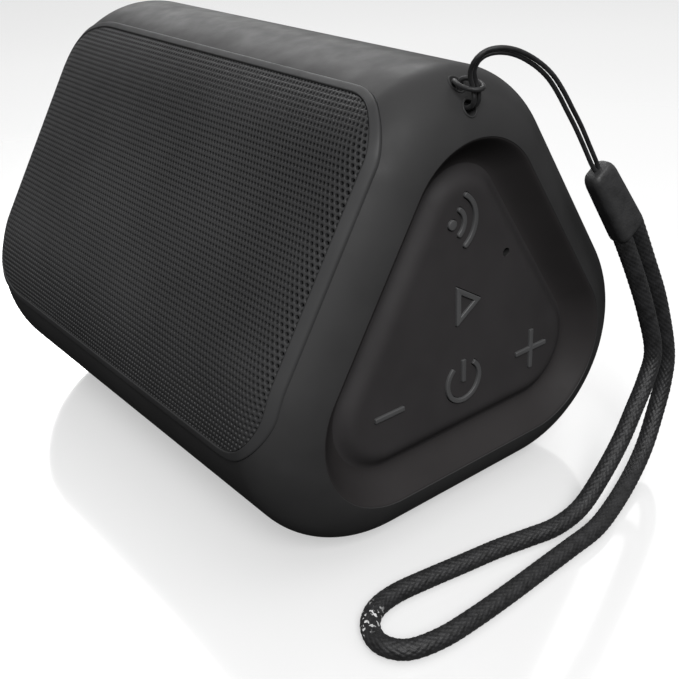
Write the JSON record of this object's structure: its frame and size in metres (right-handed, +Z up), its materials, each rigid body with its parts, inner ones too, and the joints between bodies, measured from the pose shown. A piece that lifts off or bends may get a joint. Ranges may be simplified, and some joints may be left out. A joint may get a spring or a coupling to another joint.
{
  "type": "portable shower speaker",
  "caption": "Three-sided portable speaker with rounded ends, a curved perforated grille on one face, raised-sign soft keys on its end and a braided wrist strap.",
  "frame": {"origin": "on the ground under the middle of the casing, between the two feet", "axes": "+X along the prism towards the control end with the keys and the strap, +Z up, the grille faces -Y and up"},
  "size_m": [0.1259, 0.0798, 0.0786],
  "materials": {
    "soft_touch": "soft-touch matt dark grey",
    "frame_plastic": "satin dark grey",
    "grille_steel": "perforated sheet, powder coated dark grey",
    "cloth": "thin black woven backing",
    "foam": "black closed-cell foam",
    "silicone": "matt silicone",
    "key_rubber": "matt silicone, lighter grey",
    "inner_plastic": "moulded, plain",
    "rubber": "matt",
    "steel": "bare steel",
    "magnet": "sintered ferrite, dull grey",
    "copper": "enamelled copper",
    "cone_paper": "pressed paper pulp",
    "board_green": "glass-epoxy laminate with solder mask",
    "battery_wrap": "shrink sleeve over a steel cell",
    "light_pipe": "clear-white light pipe",
    "jack_black": "moulded black",
    "strap_braid": "round black braid",
    "ferrule_plastic": "moulded, fine grained"
  },
  "bodies": {
    "speaker": {"casing": "soft_touch", "chassis": "inner_plastic", "grille_frame": "frame_plastic", "front_grille": "grille_steel", "grille_cloth": "cloth", "foam_seal": "foam", "control_bezel": "soft_touch", "control_pad": "silicone", "dome_sheet": "steel", "key_board": "board_green", "microphone": "steel", "control_end_plate": "inner_plastic", "control_screw_1": "steel", "control_screw_2": "steel", "control_screw_3": "steel", "port_bezel": "soft_touch", "port_panel": "soft_touch", "usb_socket": "steel", "aux_jack": "jack_black", "charge_light": "light_pipe", "port_board": "board_green", "port_end_plate": "inner_plastic", "port_screw_1": "steel", "port_screw_2": "steel", "port_screw_3": "steel", "bottom_grille": "frame_plastic", "radiator_frame": "inner_plastic", "radiator_surround": "rubber", "foot_front": "rubber", "foot_rear": "rubber", "battery_cell": "battery_wrap", "battery_tray": "inner_plastic", "main_board": "board_green", "ribbon_cable": "copper", "strap_cord": "strap_braid", "strap_ferrule": "ferrule_plastic", "strap_loop": "strap_braid", "driver_basket_left": "inner_plastic", "driver_magnet_left": "magnet", "driver_yoke_left": "steel", "driver_surround_left": "rubber", "driver_basket_right": "inner_plastic", "driver_magnet_right": "magnet", "driver_yoke_right": "steel", "driver_surround_right": "rubber"},
    "key_link": {"key_link": "key_rubber"},
    "key_play": {"key_play": "key_rubber"},
    "key_power": {"key_power": "key_rubber"},
    "key_minus": {"key_minus": "key_rubber"},
    "key_plus": {"key_plus": "key_rubber"},
    "port_door": {"port_door": "rubber"},
    "cone_left": {"driver_cone_left": "cone_paper", "voice_coil_left": "copper"},
    "cone_right": {"driver_cone_right": "cone_paper", "voice_coil_right": "copper"},
    "radiator": {"radiator_plate": "inner_plastic", "radiator_weight": "steel"}
  },
  "joints": [
    {"name": "key_link_press", "type": "slide", "parent": "speaker", "child": "key_link", "axis": [-1, 0, 0], "range_m": [0, 0.0005], "stiffness_N_per_m": 1500, "springref_m": -0.0003},
    {"name": "key_play_press", "type": "slide", "parent": "speaker", "child": "key_play", "axis": [-1, 0, 0], "range_m": [0, 0.0005], "stiffness_N_per_m": 1500, "springref_m": -0.0003},
    {"name": "key_power_press", "type": "slide", "parent": "speaker", "child": "key_power", "axis": [-1, 0, 0], "range_m": [0, 0.0005], "stiffness_N_per_m": 1500, "springref_m": -0.0003},
    {"name": "key_minus_press", "type": "slide", "parent": "speaker", "child": "key_minus", "axis": [-1, 0, 0], "range_m": [0, 0.0005], "stiffness_N_per_m": 1500, "springref_m": -0.0003},
    {"name": "key_plus_press", "type": "slide", "parent": "speaker", "child": "key_plus", "axis": [-1, 0, 0], "range_m": [0, 0.0005], "stiffness_N_per_m": 1500, "springref_m": -0.0003},
    {"name": "port_door_hinge", "type": "hinge", "parent": "speaker", "child": "port_door", "pos_m": [-0.0497, 0, 0.0209], "axis": [0, -1, 0], "range_deg": [0, 110]},
    {"name": "cone_left_stroke", "type": "slide", "parent": "speaker", "child": "cone_left", "axis": [0, -0.844, 0.5363], "range_m": [-0.0006, 0.0006], "stiffness_N_per_m": 1500},
    {"name": "cone_right_stroke", "type": "slide", "parent": "speaker", "child": "cone_right", "axis": [0, -0.844, 0.5363], "range_m": [-0.0006, 0.0006], "stiffness_N_per_m": 1500},
    {"name": "radiator_stroke", "type": "slide", "parent": "speaker", "child": "radiator", "axis": [0, 0, 1], "range_m": [-0.001, 0.001], "stiffness_N_per_m": 1500}
  ]
}
